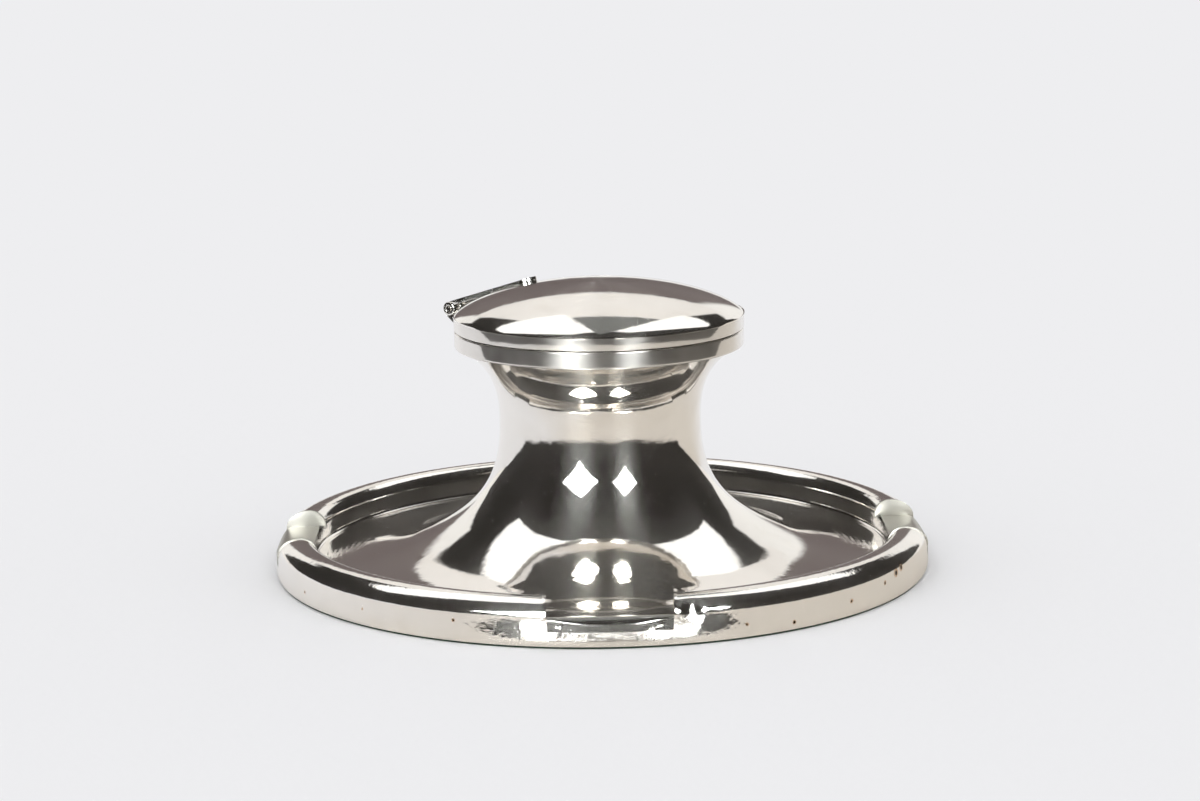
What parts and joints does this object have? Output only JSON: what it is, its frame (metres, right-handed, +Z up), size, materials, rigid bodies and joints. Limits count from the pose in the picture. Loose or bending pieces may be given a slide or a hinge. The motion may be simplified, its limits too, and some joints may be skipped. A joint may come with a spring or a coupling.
{
  "type": "desk inkstand",
  "caption": "Round polished desk inkstand: a dish with a hollow rim and pen rests, a waisted body, a flanged glass ink pot and a hinged domed lid.",
  "frame": {"origin": "middle of the baize underside, where the inkstand rests on a desk", "axes": "+Z up along the axis of the dish and body, -Y towards the front pen rest, +X to the right; the hinge lies 144.5 degrees round from +X, seen from above"},
  "size_m": [0.183, 0.183, 0.0806],
  "materials": {
    "silver_stand": "hand-polished silver plate with fine scratches and pits",
    "silver_lid": "hand-polished silver plate with fine scratches",
    "silver_rests": "worn silver plate",
    "silver_hinge": "polished silver plate, tarnished in the joints",
    "silver_inside": "silver plate, slightly tarnished by ink",
    "gilt_cup": "bare sheet brass",
    "pin_metal": "drawn wire with filed ends",
    "pitch": "dull dark pitch",
    "board_wood": "oiled hardwood",
    "baize": "napped baize",
    "pot_glass": "clear pressed glass with a ground rim"
  },
  "bodies": {
    "stand": {"tray_shell": "silver_stand", "capstan_body": "silver_stand", "mouth_collar": "silver_stand", "mouth_plate": "silver_inside", "liner_cup": "gilt_cup", "rest_floor_front": "silver_rests", "rest_floor_right": "silver_rests", "rest_floor_back": "silver_rests", "rest_floor_left": "silver_rests", "rest_ends_front": "silver_rests", "rest_ends_right": "silver_rests", "rest_ends_back": "silver_rests", "rest_ends_left": "silver_rests", "loading": "pitch", "base_board": "board_wood", "baize_pad": "baize", "hinge_bearer": "silver_hinge", "hinge_knuckles_body": "silver_hinge", "hinge_pin": "pin_metal"},
    "lid": {"hinge_knuckles_lid": "silver_hinge", "hinge_strap": "silver_hinge", "lid_dome": "silver_lid", "lid_band": "silver_lid", "lid_bezel": "silver_inside"},
    "pot": {"glass_pot": "pot_glass"}
  },
  "joints": [
    {"name": "lid_hinge", "type": "hinge", "parent": "stand", "child": "lid", "pos_m": [-0.03773, 0.02692, 0.0698], "axis": [-0.5807, -0.8141, 0], "range_deg": [0, 105]},
    {"name": "pot_lift", "type": "slide", "parent": "stand", "child": "pot", "axis": [0, 0, 1], "range_m": [0, 0.008]}
  ]
}
